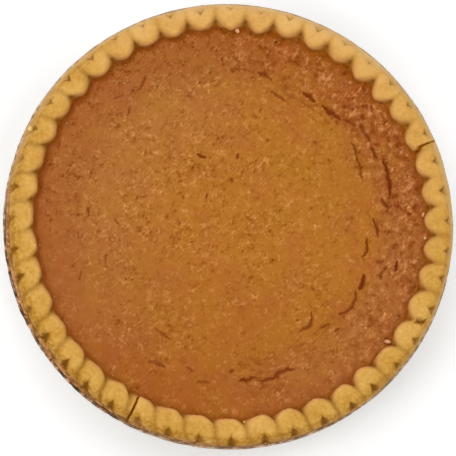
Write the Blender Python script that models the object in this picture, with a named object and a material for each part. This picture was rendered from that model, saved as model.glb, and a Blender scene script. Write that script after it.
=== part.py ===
"""Pumpkin pie in its foil pan: a fluted pastry case, a set pumpkin custard and a rolled-rim foil pan.

Units are metres and +Z is up. The origin is the centre of the pan's flat underside, on the surface
that the pie stands on. Angles run anticlockwise from +X, seen from above.
"""

import math
import random

import bmesh
import bpy

MM = 0.001

# Foil pan
RIM_R = 127.0 * MM  # outside of the rolled rim
RIM_BEAD_R = 1.0 * MM  # the roll's own radius
FLANGE_Z = 32.0 * MM  # top of the flat flange
WALL_TOP_R = 115.0 * MM  # where the sloping wall meets the flange
WALL_BASE_R = 92.0 * MM  # where the wall's line meets the underside
CORNER_R = 5.0 * MM  # round between the bottom and the wall
FOIL = 0.4 * MM  # thickness of the foil

# Pastry case
GAP = 0.3 * MM  # clear space between touching pieces
PASTRY = 3.6 * MM  # thickness of the case under and around the custard
LIP_R = 125.0 * MM  # edge of the pastry that lies on the flange
LIP_RISE = 1.7 * MM  # thickness of that edge
RIDGE_FOOT_Z = 37.6 * MM  # underside of the knobs that overhang the custard
RIDGE_TOP_Z = 44.4 * MM  # crest of the ridge

# Flutes: the ridge zigzags in and out. A knob points inwards and has a dimple pressed in behind it.
FLUTES = 44
OUT_OF_PLACE = {4: 0.4, 24: -0.6, 27: 0.4, 34: 0.4, 38: -0.7, 39: -0.6, 40: -0.7, 41: 0.5, 42: 0.8}  # degrees
# Each pair is a radius at the foot of the ridge and one at its crest.
KNOB_R = (108.6 * MM, 109.2 * MM)  # inner side of the ridge at a knob
NOTCH_R = (111.2 * MM, 113.5 * MM)  # inner side of the ridge between two knobs
NOTCH_SHIFT = (1.5 * MM, 2.5 * MM)  # the notches are deeper on one side of the pie than on the other
NOTCH_SHIFT_TO = math.radians(52)
BULGE_R = (123.5 * MM, 122.4 * MM)  # outer side of the ridge between two dimples
DIMPLE_R = (121.6 * MM, 120.2 * MM)  # outer side of the ridge at a dimple
DIMPLE_SHIFT = (0.1 * MM, 0.4 * MM)  # the dimples are shallower on one side of the pie than on the other
DIMPLE_SHIFT_TO = math.radians(60)
NOTCH_POWER = 2.0  # how sharp the notches are between round knobs
DIMPLE_POWER = 3.2  # how narrow the dimples are between broad bulges
SLANT = 0.44  # how far the valleys slant from foot to foot, as a share of a flute, where they slant most
SLANT_AT = math.radians(212)
RIDGE_POWER = 2.8  # 2 gives an elliptical ridge, more gives a squarer one

# Hand-made unevenness, as the most that a flute departs from the rule
UNEVEN_SEED = 11
TURN = math.radians(0.2)
OFF_CENTRE = 0.6 * MM  # how far the ridge sits off the pan's middle
OFF_CENTRE_TO = math.radians(300)
OVAL = 0.65 * MM  # how far the ridge is out of round
OVAL_TO = math.radians(120)
KNOB_SHIFT = 0.9 * MM
BULGE_SHIFT = 0.6 * MM
TOP_SHIFT = 0.7 * MM

# Two places where the ridge split in baking
SPLITS = (math.radians(21.5), math.radians(243.0))
SPLIT_HALF = math.radians(0.42)
SPLIT_DEPTH = 0.62  # share of the ridge's height

# Custard
CUSTARD_EDGE_Z = 36.9 * MM
CUSTARD_PUFF_Z = 37.2 * MM  # ring that rose and stayed up
CUSTARD_MIDDLE_Z = 35.0 * MM  # middle that sank as it cooled
PUFF_R = 95.0 * MM
SINK_R = 68.0 * MM

# Facets
ROUND_COLUMNS = 72
COLUMNS_PER_FLUTE = 6
RIDGE_STEPS = 6
CORNER_STEPS = 2
BEAD_STEPS = 5

LIP_TOP_Z = FLANGE_Z + GAP + LIP_RISE
WALL_SLOPE = (WALL_TOP_R - WALL_BASE_R) / FLANGE_Z
WALL_LEAN = math.atan(WALL_SLOPE)  # from the vertical


def clear_scene():
    for item in list(bpy.data.objects):
        bpy.data.objects.remove(item)


def material(name, colour, roughness, metallic=0.0):
    made = bpy.data.materials.new(name)
    made.use_nodes = True
    shader = made.node_tree.nodes["Principled BSDF"]
    shader.inputs["Base Color"].default_value = (*colour, 1.0)
    shader.inputs["Roughness"].default_value = roughness
    shader.inputs["Metallic"].default_value = metallic
    return made


def smooth_step(t):
    return t * t * (3 - 2 * t)


def blend(a, b, t):
    return a + (b - a) * t


# --- Mesh building: rings of vertices round the Z axis, joined into one closed skin ---


def turned_ring(bm, radius, height, columns=ROUND_COLUMNS):
    """A level ring of vertices, or one vertex where the radius is nil."""
    if radius == 0:
        return [bm.verts.new((0, 0, height))]
    steps = [2 * math.pi * i / columns for i in range(columns)]
    return [bm.verts.new((radius * math.cos(a), radius * math.sin(a), height)) for a in steps]


def angle_of(vertex):
    return math.atan2(vertex.co.y, vertex.co.x) % (2 * math.pi)


def join_rings(bm, lower, upper):
    """Joins two rings that may hold different numbers of vertices, stepping along the one that lags."""
    if len(lower) == 1 or len(upper) == 1:
        pole, ring = (lower[0], upper) if len(lower) == 1 else (upper[0], lower)
        for one, two in zip(ring, ring[1:] + ring[:1]):
            bm.faces.new((pole, one, two) if ring is upper else (pole, two, one))
        return
    if len(lower) == len(upper):
        for i in range(len(lower)):
            j = (i + 1) % len(lower)
            bm.faces.new((lower[i], lower[j], upper[j], upper[i]))
        return
    full_turn = 2 * math.pi
    low_angles = [angle_of(v) for v in lower[1:]] + [full_turn]
    up_angles = [angle_of(v) for v in upper[1:]] + [full_turn]
    i = j = 0
    while i < len(lower) or j < len(upper):
        low_next = low_angles[i] if i < len(lower) else math.inf
        up_next = up_angles[j] if j < len(upper) else math.inf
        here_low, here_up = lower[i % len(lower)], upper[j % len(upper)]
        if low_next <= up_next:
            i += 1
            bm.faces.new((here_low, lower[i % len(lower)], here_up))
        else:
            j += 1
            bm.faces.new((here_low, upper[j % len(upper)], here_up))


def skin(name, rings_maker, finish):
    """One closed object from rings in order along its section, from pole to pole."""
    bm = bmesh.new()
    rings = rings_maker(bm)
    for lower, upper in zip(rings, rings[1:]):
        join_rings(bm, lower, upper)
    bmesh.ops.recalc_face_normals(bm, faces=bm.faces)
    mesh = bpy.data.meshes.new(name)
    bm.to_mesh(mesh)
    bm.free()
    mesh.shade_smooth()
    mesh.set_sharp_from_angle(angle=math.radians(50))
    made = bpy.data.objects.new(name, mesh)
    made.data.materials.append(finish)
    bpy.context.scene.collection.objects.link(made)
    return made


# --- Foil pan ---


def wall_radius(height, inset=0.0):
    """Radius of the pan's wall line at a height, moved square to the wall by inset towards the food."""
    return WALL_BASE_R + height * WALL_SLOPE - inset / math.cos(WALL_LEAN)


def corner_points(floor, inset, radius):
    """(radius, height) round the bottom corner of a cup whose floor and wall are given."""
    turn = math.pi / 2 - WALL_LEAN
    reach = radius * math.tan(turn / 2)
    centre_r = wall_radius(floor, inset) - reach
    centre_z = floor + radius
    angles = [turn * i / CORNER_STEPS for i in range(CORNER_STEPS + 1)]
    return [(centre_r + radius * math.sin(a), centre_z - radius * math.cos(a)) for a in angles]


def bead_points():
    """(radius, height) round the rolled rim, from the flange's top over to its underside."""
    centre_r = RIM_R - RIM_BEAD_R
    centre_z = FLANGE_Z - RIM_BEAD_R + FOIL
    first, last = math.radians(135), math.radians(-150)
    angles = [blend(first, last, i / BEAD_STEPS) for i in range(BEAD_STEPS + 1)]
    return [(centre_r + RIM_BEAD_R * math.cos(a), centre_z + RIM_BEAD_R * math.sin(a)) for a in angles]


def pan_section():
    food_side = [(0, FOIL), *corner_points(FOIL, FOIL, CORNER_R)]
    food_side.append((wall_radius(FLANGE_Z, FOIL), FLANGE_Z))
    under_side = [(wall_radius(FLANGE_Z - FOIL), FLANGE_Z - FOIL)]
    under_side += reversed(corner_points(0.0, 0.0, CORNER_R + FOIL))
    under_side.append((0, 0))
    return food_side + bead_points() + under_side


def pan_rings(bm):
    return [turned_ring(bm, r, z) for r, z in pan_section()]


# --- Pastry case ---


def uneven_flutes():
    """Departures of every flute from the rule, each from -1 to 1."""
    draw = random.Random(UNEVEN_SEED)
    kinds = ("turn", "knob", "bulge", "top")
    return [{kind: draw.uniform(-1, 1) for kind in kinds} for _ in range(FLUTES)]


UNEVEN = uneven_flutes()


def between(kind, flute, t):
    """A departure blended from one flute to the next, with t from 0 at this knob to 1 at the next."""
    here, after = UNEVEN[flute % FLUTES][kind], UNEVEN[(flute + 1) % FLUTES][kind]
    return blend(here, after, smooth_step(t))


def knob_angle(flute):
    """Angle of a knob's middle. The first knob stands at +X."""
    even = 2 * math.pi * flute / FLUTES
    stray = math.radians(OUT_OF_PLACE.get(flute % FLUTES, 0))
    return even + stray + TURN * UNEVEN[flute % FLUTES]["turn"]


def out_of_round(angle):
    """How far the ridge lies outside its rule at an angle."""
    return OFF_CENTRE * math.cos(angle - OFF_CENTRE_TO) + OVAL * math.cos(2 * (angle - OVAL_TO))


def split_share(angle):
    """1 in the middle of a split, 0 outside it."""
    nearest = min(abs((angle - s + math.pi) % (2 * math.pi) - math.pi) for s in SPLITS)
    return max(0.0, 1 - nearest / SPLIT_HALF)


def columns():
    """(angle, flute, t) of every column of the ridge in turn, with closer ones at the splits."""
    found = []
    for flute in range(-1, FLUTES):
        start, end = knob_angle(flute), knob_angle(flute + 1)
        if flute == -1:
            start -= 2 * math.pi
        shares = [i / COLUMNS_PER_FLUTE for i in range(COLUMNS_PER_FLUTE)]
        for split in SPLITS:
            edges = [split - SPLIT_HALF, split, split + SPLIT_HALF]
            inside = [(e - start) / (end - start) for e in edges]
            if 0 < inside[1] < 1:
                shares = [s for s in shares if not inside[0] - 0.05 < s < inside[2] + 0.05]
                shares += [s for s in inside if 0 <= s < 1]
        found += [(blend(start, end, t), flute, t) for t in sorted(shares)]
    in_turn = [c for c in found if 0 <= c[0] < 2 * math.pi]
    return sorted(in_turn)


def from_knobs(angle, t, share):
    """From 0 at a knob to 1 in the valley beside it, at a share of the way in from the ridge's outer foot."""
    nearness = max(0.0, math.cos(angle - SLANT_AT))
    valley = 0.5 + SLANT * smooth_step(nearness) * (0.5 - share)
    return t / valley if t < valley else (1 - t) / (1 - valley)


def ridge_sides(angle, flute, t, share, up):
    """(inner radius, outer radius) of the ridge at a share up of its height."""
    from_knob = from_knobs(angle, t, share)
    notch_shift = blend(*NOTCH_SHIFT, up) * math.cos(angle - NOTCH_SHIFT_TO)
    dimple_shift = blend(*DIMPLE_SHIFT, up) * math.cos(angle - DIMPLE_SHIFT_TO)
    inner = blend(blend(*KNOB_R, up), blend(*NOTCH_R, up) + notch_shift, from_knob**NOTCH_POWER)
    outer = blend(blend(*BULGE_R, up), blend(*DIMPLE_R, up) + dimple_shift, (1 - from_knob) ** DIMPLE_POWER)
    inner += KNOB_SHIFT * between("knob", flute, t) * (1 - from_knob)
    return inner, outer + BULGE_SHIFT * between("bulge", flute, t)


def ridge_point(column, step):
    """Place on the ridge's section, from its outer foot at step 0 over the crest to its inner foot."""
    angle, flute, t = column
    share = step / RIDGE_STEPS
    around = math.pi * share
    across = math.copysign(abs(math.cos(around)) ** (2 / RIDGE_POWER), math.cos(around))
    up = abs(math.sin(around)) ** (2 / RIDGE_POWER)
    inner, outer = ridge_sides(angle, flute, t, share, up)
    foot = blend(LIP_TOP_Z, RIDGE_FOOT_Z, share)
    top = RIDGE_TOP_Z + TOP_SHIFT * between("top", flute, t)
    height = (top - foot) * (1 - SPLIT_DEPTH * split_share(angle))
    radius = (outer + inner) / 2 + (outer - inner) / 2 * across + out_of_round(angle)
    return (radius * math.cos(angle), radius * math.sin(angle), foot + height * up)


def crust_rings(bm):
    around = columns()

    def level_ring(radius, height):
        return [bm.verts.new((radius * math.cos(a), radius * math.sin(a), height)) for a, _, _ in around]

    under = FOIL + GAP
    inside = FOIL + GAP + PASTRY
    outer_corner = corner_points(under, under, CORNER_R)
    inner_corner = corner_points(inside, inside, CORNER_R)
    rings = [turned_ring(bm, 0, under)]
    rings += [turned_ring(bm, r, z) for r, z in outer_corner]
    rings.append(turned_ring(bm, wall_radius(FLANGE_Z + GAP, under), FLANGE_Z + GAP))
    rings.append(level_ring(LIP_R - 0.5 * MM, FLANGE_Z + GAP))
    rings.append(level_ring(LIP_R, FLANGE_Z + GAP + LIP_RISE / 2))
    rings.append(level_ring(LIP_R - 0.4 * MM, LIP_TOP_Z))
    for step in range(RIDGE_STEPS + 1):
        rings.append([bm.verts.new(ridge_point(c, step)) for c in around])
    wall_top = CUSTARD_EDGE_Z + 1.5 * GAP
    rings.append(level_ring(wall_radius(wall_top, inside), wall_top))
    rings += [turned_ring(bm, r, z) for r, z in reversed(inner_corner)]
    rings.append(turned_ring(bm, 0, inside))
    return rings


# --- Custard ---


def custard_height(radius):
    """Height of the custard's top: a sunken middle, a ring that stayed up, and a lower edge."""
    edge_r = custard_edge_r()
    if radius <= SINK_R:
        return blend(CUSTARD_MIDDLE_Z, CUSTARD_MIDDLE_Z + 0.3 * MM, (radius / SINK_R) ** 2)
    if radius <= PUFF_R:
        share = smooth_step((radius - SINK_R) / (PUFF_R - SINK_R))
        return blend(CUSTARD_MIDDLE_Z + 0.3 * MM, CUSTARD_PUFF_Z, share)
    share = (radius - PUFF_R) / (edge_r - PUFF_R)
    return blend(CUSTARD_PUFF_Z, CUSTARD_EDGE_Z, smooth_step(share))


def custard_edge_r():
    return wall_radius(CUSTARD_EDGE_Z, FOIL + PASTRY + 2 * GAP)


def custard_rings(bm):
    inset = FOIL + PASTRY + 2 * GAP
    edge_r = custard_edge_r()
    radii = [0, 0.5 * SINK_R, SINK_R, (SINK_R + PUFF_R) / 2, PUFF_R, (PUFF_R + edge_r) / 2, edge_r]
    top = [(r, custard_height(r)) for r in radii]
    under = [*reversed(corner_points(inset, inset, CORNER_R)), (0, inset)]
    return [turned_ring(bm, r, z) for r, z in top + under]


def main():
    clear_scene()
    skin("foil_pan", pan_rings, material("aluminium_foil", (0.80, 0.80, 0.81), 0.30, 1.0))
    skin("crust", crust_rings, material("baked_pastry", (0.66, 0.40, 0.13), 0.62))
    skin("filling", custard_rings, material("pumpkin_custard", (0.44, 0.16, 0.03), 0.45))


main()
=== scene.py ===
"""Looks of a whole pumpkin pie in its foil pan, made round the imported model.

Lengths are in metres, or in millimetres where a table says so, in the pie's own frame: the origin is the
centre of the pan's underside, +Z is up, and angles run anticlockwise from +X, seen from above.
"""

import math
import random

import bpy
import numpy as np
from mathutils import Matrix, Vector, noise


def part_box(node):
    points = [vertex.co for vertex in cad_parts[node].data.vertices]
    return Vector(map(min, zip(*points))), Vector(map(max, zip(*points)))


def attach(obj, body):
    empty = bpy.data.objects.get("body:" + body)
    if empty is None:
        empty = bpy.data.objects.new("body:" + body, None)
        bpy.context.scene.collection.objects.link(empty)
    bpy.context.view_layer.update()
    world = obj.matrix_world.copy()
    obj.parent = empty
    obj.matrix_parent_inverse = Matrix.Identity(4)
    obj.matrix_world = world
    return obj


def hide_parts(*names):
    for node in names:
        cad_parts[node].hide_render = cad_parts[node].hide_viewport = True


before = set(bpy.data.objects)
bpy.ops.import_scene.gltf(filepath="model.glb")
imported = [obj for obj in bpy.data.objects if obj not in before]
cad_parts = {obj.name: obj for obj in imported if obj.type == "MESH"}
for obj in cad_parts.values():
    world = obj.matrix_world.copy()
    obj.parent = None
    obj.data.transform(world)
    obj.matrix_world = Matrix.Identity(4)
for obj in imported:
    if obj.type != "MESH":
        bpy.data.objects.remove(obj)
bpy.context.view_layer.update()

MM = 0.001
FULL_TURN = 2 * math.pi

# --- Sizes of the pie ---

PAN_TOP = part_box("foil_pan")[1].z  # top of the rolled rim
RIM_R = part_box("foil_pan")[1].x  # outside of the rolled rim
BEAD_R = 1.0 * MM  # the roll's own radius
BEAD_FROM = 215  # degrees round the roll's own middle, where it leaves the flange
BEAD_ROUND = 285
BEAD_STEPS = 12
FOIL = 0.25 * MM  # thickness of the foil
FLANGE_Z = PAN_TOP - 0.4 * MM
WALL_BASE_R = 92.0 * MM
WALL_TOP_R = 115.0 * MM
WALL_LEAN = math.atan((WALL_TOP_R - WALL_BASE_R) / FLANGE_Z)
WALL_STEPS = 12
FOIL_CORNER_STEPS = 4
CORNER_R = 5.0 * MM
# How far the wall is pleated, and the rim waved, lowered, bent, crushed and tucked in
PLEAT_DEPTH = 0.45 * MM
RIM_WAVE = 0.12 * MM
RIM_LOWERED = 0.10 * MM
RIM_BEND = 0.22 * MM
RIM_CRUSH = 0.7 * MM
RIM_TUCK = 0.5 * MM
PAN_COLUMNS = 720
POLE_R = 1 * MM  # the ring at each end of a turned blank's section, which is drawn into a pole
SEEDS_APART = (3.7, 1.3, 2.9)  # how far apart two seeds read the same noise
# The pan's section beside its wall: (radius, height) along the flange's underside and back along its top.
WALL_TOP_Z = (31.4 * MM, 31.6 * MM)  # outer face, inner face
FLANGE_UNDER = ((115.3 * MM, 31.7 * MM), (119 * MM, 31.8 * MM), (RIM_R - 3.2 * BEAD_R, 31.75 * MM))
FLANGE_OVER = ((119 * MM, 32.05 * MM), (115.2 * MM, 31.95 * MM))
BOTTOM_RING_R = 60 * MM

CASE_INSET = 0.7 * MM  # the pastry's skin, in from the pan's outer face
CUSTARD_INSET = 4.2 * MM  # the pastry's inner face, in from there too

FLUTES = 44
COLUMNS_PER_FLUTE = 24
CASE_COLUMNS = FLUTES * COLUMNS_PER_FLUTE
# Flutes that were crimped out of place, by how many degrees
OUT_OF_PLACE = {4: 0.4, 24: -0.6, 27: 0.4, 34: 0.4, 38: -0.7, 39: -0.6, 40: -0.7, 41: 0.5, 42: 0.8}
OFF_CENTRE = 0.6 * MM  # how far the ridge sits off the pan's middle
OFF_CENTRE_TO = math.radians(300)
OVAL = 0.65 * MM  # how far the ridge is out of round
OVAL_TO = math.radians(120)
UNEVEN_SEED = 11
TRAIT_SEED = 5
TRAIT_ENDS = ((0.8, 1.25), (0.5, 1.4), (0.6, 1.35))  # least and most sharpness, crease and pinch of a flute
# The most that chance moves a flute: its angle, its knob, its outer bulge and its crest.
TURN = math.radians(0.2)
KNOB_SHIFT = 0.9 * MM
BULGE_SHIFT = 0.6 * MM
TOP_SHIFT = 0.7 * MM
# The ridge zigzags in and out, and its hollows slope: each radius is given at the foot and at the crest.
KNOB_R = (108.6 * MM, 109.2 * MM)
NOTCH_R = (111.2 * MM, 113.5 * MM)
NOTCH_SHIFT = (1.5 * MM, 2.5 * MM)  # the notches are deeper on one side of the pie than on the other
NOTCH_SHIFT_TO = math.radians(52)
NOTCH_STRAY = 0.9 * MM
BULGE_R = (123.5 * MM, 122.4 * MM)
DIMPLE_R = (121.9 * MM, 120.3 * MM)
DIMPLE_SHIFT = 0.1 * MM
DIMPLE_SHIFT_TO = math.radians(60)
LONG_KNOB = 0.9 * MM  # how much farther in the knobs reach on their long side
WIDE_FOOT = 0.3 * MM  # how much farther out the ridge's foot stands on its wide side
SLANT = 0.44  # how far the valleys slant from foot to foot, as a share of a flute, where they slant most
SADDLE = 1.2 * MM  # how far the crest sinks from knob to valley on the inside
OUTER_SADDLE = 0.9 * MM
CREASE_DEPTH = 0.6 * MM
SPLIT_DEPTH = 0.55  # share of the ridge's height that an open split sinks
LIP_R = 125.1 * MM
LIP_WAVE = 0.35 * MM
LIP_SHIFT = 0.5 * MM  # the case sits a little towards its far side in the pan
LIP_SHIFT_TO = math.radians(62)
LIP_TOP_Z = 34.0 * MM
LIP_RINGS = 5  # points of the section that make the lip
LIP_TOP_RINGS = 3  # how many of them are its top, which sinks in a split
LIP_SPLIT_DEPTH = 0.9 * MM
# The lip's outer side: (how far in from its radius, how far up from the pan's rim)
LIP_SIDE = ((0.3 * MM, 0.1 * MM), (0.0, 0.6 * MM), (0.1 * MM, 1.1 * MM))
LIP_TOP = ((0.5 * MM, 0.1 * MM), (1.0 * MM, 0.0))  # its top: (how far in from its radius, how far down)
CASE_FLANGE_R = (118 * MM, 123.4 * MM)  # between these radii the case lies along the pan's flange
CASE_FLANGE_Z = FLANGE_Z + 0.3 * MM
CASE_CORNER_STEPS = 5
CASE_INNER_WALL_Z = (34.5 * MM, 31 * MM)
RIDGE_MIDDLE_R = 116 * MM
RIDGE_MIDDLE_Z = 38 * MM
RIDGE_FOOT_Z = 36.4 * MM
RIDGE_TOP_Z = 44.2 * MM
CREST_Z = 45.0 * MM  # the highest that any flute swells
RIDGE_STEPS = 36
BLANK_RIDGE_HALF = 6 * MM  # half the width of the plain ridge that the flutes are shaped from
BLANK_RIDGE_TALL = 11 * MM
# How square the ridge is over its top, where 2 is an ellipse: at a knob and in a valley
OUTER_SQUARENESS = (3.4, 3.0)
INNER_SQUARENESS = (8.0, 4.6)
# The dough rose unevenly: (height, size of its lumps, seed) of each layer
BROAD_SWELL = ((0.28 * MM, 9 * MM, 1),)
FINE_SWELL = ((0.16 * MM, 3.2 * MM, 2), (0.07 * MM, 1.3 * MM, 4))

CUSTARD_SIDES = 6
CUSTARD_RINGS = 101
CUSTARD_CORNER_STEPS = 3
FINER_NEAR_CRACKS = (1.7 * MM, 0.7 * MM)  # how near a crack the sheet is divided again, and then once more
CUSTARD_GAP = 0.3 * MM
CUSTARD_R = 113.0 * MM
CUSTARD_EDGE_Z = 37.2 * MM
CUSTARD_PUFF_Z = 37.4 * MM
CUSTARD_MIDDLE_Z = 35.1 * MM
CUSTARD_DISH = 0.3 * MM  # how much higher the sunken middle is at its own edge
PUFF_R = 95.0 * MM  # where the outer ring is highest
SINK_R = 68.0 * MM  # the edge of the sunken middle
EDGE_R = 112 * MM  # where its top has come down to CUSTARD_EDGE_Z
EDGE_SHRINK = 0.10 * MM  # how far the custard sank at the pastry as it shrank
RAISED_EDGE = 0.5 * MM  # how much higher its edge stands, apart from on the low side
UNDERCUT = 1.2 * MM  # how far its side drops straight down before its wall slopes in
BUSY_TO = math.radians(12)  # where its outer ring is most wrinkled
BELT_TO = math.radians(5)  # the middle of the belt of cracks
WRINKLE_DEPTH = 0.45 * MM
BELT_CREASE_DEPTH = 0.5 * MM
CRACK_DEPTH = 0.864 * MM  # at the middle of the darkest crack
CRACK_LIP = 0.288 * MM  # how far its sides stand up
# Uneven layers of (height or distance, size of its lumps, seed): the skin's swell and how the cracks wander
CUSTARD_SWELL = ((0.30 * MM, 22 * MM, 6),)
WANDER_X = ((1.1 * MM, 6 * MM, 9), (0.7 * MM, 2.2 * MM, 14), (0.2 * MM, 1.1 * MM, 18))
WANDER_Y = ((1.1 * MM, 6 * MM, 10), (0.7 * MM, 2.2 * MM, 15), (0.2 * MM, 1.1 * MM, 19))
# Ripples and pimples: how high they are in the middle and in the outer ring
RIPPLE = (0.06 * MM, 0.36 * MM)
PIMPLE = (0.08 * MM, 0.30 * MM)

# Noise that shapes or marks the pie: (size of its lumps, seed). On the lip and the pan, sizes are shares of
# the radius.
RIPPLES = (5.5 * MM, 7)
PIMPLES = (2.6 * MM, 8)
WRINKLES = (6.5 * MM, 13)
CREASED = (8 * MM, 17)
RAGGED = (1.2 * MM, 12)
BROKEN = (3.2 * MM, 20)
PATCHY_CRUST = (4 * MM, 5)
LIP_WAVES = (0.12, 3)
PLEATS = (0.035, 21)
RIM_WAVES = (0.05, 22)
RIM_BENDS = (0.09, 23)
RIM_DENTS = (0.035, 24)

# Zones round the axis: (radius where each starts or ends, how wide it blends in or out)
OUTER_RING = (72 * MM, 22 * MM)
COLOURED_RING = (78 * MM, 14 * MM)
BELT_START = (73 * MM, 8 * MM)
BELT_END = (101 * MM, 8 * MM)
TURNED_UP = (98 * MM, 10 * MM)
BEYOND_MIDDLE = (30 * MM, 8 * MM)
HALF_WAY_OUT = (52 * MM, 10 * MM)
NEAR_SHADE_START = (22 * MM, 26 * MM)
SHEEN_SPREAD = (15 * MM, 60 * MM)
WALL_START = (93 * MM, 4 * MM)
WALL_END = (118 * MM, 4 * MM)
GREASY_RIM = (117 * MM, 4 * MM)
BENT_RIM = (120 * MM, 4 * MM)

# Stretches of the way over the ridge, from 0 at its outer foot to 1 at its inner one: (start or end, length)
INSIDE = (0.3, 0.4)
SADDLE_START = (0.40, 0.3)
OUTER_SADDLE_END = (0.55, 0.3)
CREASE_START = (0.1, 0.2)
INNER_FOOT = (0.6, 0.3)
PIT_START = (0.07, 0.12)
PIT_END = (0.36, 0.12)
TORN_START = (0.02, 0.12)
DARKER_FOOT_START = (0.945, 0.045)
OUTER_LIGHT_END = (0.34, 0.3)
STRONG_OUTER_LIGHT_END = (0.70, 0.6)
LIGHT_START = (0.5, 0.2)
BRIGHTEST_LIGHT_START = (0.68, 0.12)
SHADED_OUTSIDE_END = (0.54, 0.22)

# Splits that run right over the ridge: (degrees round, its lean along the ridge in degrees, half width)
SPLITS = ((21.5, 1.2, 0.62 * MM), (243.0, 0.1, 0.66 * MM))
# A tear that opens only part of the ridge, from one share of the way over it to another
TEAR = (331.4, 5.0, 1.6 * MM)
TEAR_ENDS = (0.33, 0.57)
TEAR_STRENGTH = 0.75
SPLIT_COLUMNS = 6  # a split moves this many columns of points on each side of it
SPLIT_AT_R = 118 * MM  # where a split has the width given above

# Cracks in the custard, browned and painted with shade inside: (half width in millimetres, how dark from 0 to
# 1, then the angle in degrees and the radius in millimetres of its points from end to end)
CRACKS = (
    (0.65, 0.50, ((79.5, 86.5), (76.0, 86.0), (73.5, 84.5))),
    (0.55, 0.50, ((73.0, 77.5), (65.0, 76.0))),
    (0.70, 0.80, ((61.0, 84.5), (55.0, 83.5))),
    (0.85, 0.92, ((52.0, 84.5), (49.0, 84.0), (43.0, 85.5))),
    (0.60, 0.50, ((42.5, 87.0), (37.0, 90.0))),
    (0.80, 0.65, ((37.0, 92.0), (34.0, 91.5), (30.0, 91.5))),
    (0.70, 0.80, ((28.0, 90.0), (23.5, 90.0))),
    (0.85, 0.95, ((21.5, 93.5), (18.0, 92.5), (14.5, 92.5), (9.0, 91.0))),
    (0.65, 0.80, ((9.0, 86.0), (5.0, 89.0))),
    (0.60, 0.60, ((33.5, 82.0), (30.0, 81.5), (26.5, 80.0), (22.0, 79.5), (17.5, 78.5))),
    (0.50, 0.80, ((1.5, 80.5), (-5.5, 83.5))),
    (0.55, 0.80, ((-6.5, 77.5), (-12.0, 78.0), (-15.0, 76.5))),
    (0.70, 1.00, ((-13.0, 95.5), (-16.5, 95.5))),
    (0.50, 0.50, ((-16.5, 90.5), (-21.5, 88.5))),
    (1.00, 1.00, ((-22.0, 80.5), (-25.0, 81.5), (-28.0, 82.0))),
    (0.75, 0.65, ((-29.0, 79.5), (-32.5, 82.5), (-36.0, 82.5), (-41.0, 80.0))),
    (0.60, 0.60, ((-48.5, 67.5), (-52.0, 72.5), (-55.0, 73.0), (-59.0, 72.0))),
    (0.60, 0.50, ((-46.0, 79.5), (-50.0, 78.5))),
    (0.50, 0.55, ((-45.0, 84.5), (-47.5, 84.5))),
    (0.90, 0.75, ((-66.5, 89.5), (-70.0, 88.0), (-74.0, 90.0), (-79.5, 90.5))),
    (0.70, 0.80, ((-81.0, 88.5), (-87.0, 89.0))),
    (0.50, 0.65, ((-88.5, 83.5), (-91.0, 84.0))),
    (0.45, 0.42, ((-97.5, 91.0), (-102.0, 91.5))),
    (0.50, 0.35, ((-103.0, 86.0), (-107.0, 85.5))),
    (0.62, 0.50, ((-113.5, 89.0), (-116.5, 89.0), (-120.0, 90.0))),
    (0.50, 0.40, ((-116.5, 74.5), (-124.5, 73.0))),
    (0.80, 0.86, ((115.0, 42.5), (111.5, 38.0))),
    (0.42, 0.70, ((83.5, 39.0), (84.5, 35.5))),
    (0.42, 0.55, ((126.0, 90.5), (122.5, 92.5), (119.5, 95.0))),
    (0.40, 0.40, ((134.5, 82.5), (130.5, 85.5))),
    (0.35, 0.42, ((134.5, 95.5), (130.5, 92.5))),
    (0.32, 0.26, ((92.0, 86.0), (86.5, 87.5), (81.5, 86.0))),
    (0.38, 0.32, ((199.0, 88.0), (202.5, 89.5))),
    (0.38, 0.32, ((195.0, 71.5), (198.5, 72.5))),
    (0.42, 0.66, ((175.0, 79.5), (178.5, 79.0))),
    (0.38, 0.32, ((184.0, 84.5), (187.5, 85.0))),
    (0.42, 0.50, ((179.5, 64.5), (182.0, 62.0))),
    (0.36, 0.60, ((131.5, 20.5), (136.0, 17.5))),
    (0.42, 0.55, ((89.0, 24.8), (87.5, 22.4))),
)

# Bits of pastry that lie by the ridge: (degrees round, radius, height and half width in millimetres, how many
# times longer than wide, degrees that its length is turned from +X, how golden from 0 to 1)
BITS = (
    (155.6, 122.6, 37.4, 1.6, 1.15, 60, 1.0),
    (88.0, 109.2, 38.0, 1.1, 1.7, 112, 0.0),
    (-37.8, 109.8, 38.6, 1.35, 1.7, 170, 0.0),
    (-86.1, 111.9, 39.6, 1.0, 1.1, 0, 1.0),
    (2.0, 108.1, 38.3, 0.9, 1.7, 70, 0.1),
    (-4.9, 109.3, 38.3, 0.85, 1.3, 50, 0.3),
)

# Small crumbs that fall by chance: (how many, degrees round that most lie between or None, then the radius,
# height and half width in millimetres, how golden)
SMALL_CRUMBS = (
    (70, (150, 290), (123.3, 124.6), 34.15, (0.2, 0.5), 0.5),
    (14, None, (105.5, 107.5), 37.6, (0.15, 0.35), 0.0),
)
CRUMB_SEED = 31

# --- Sides of the pie ---

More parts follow.
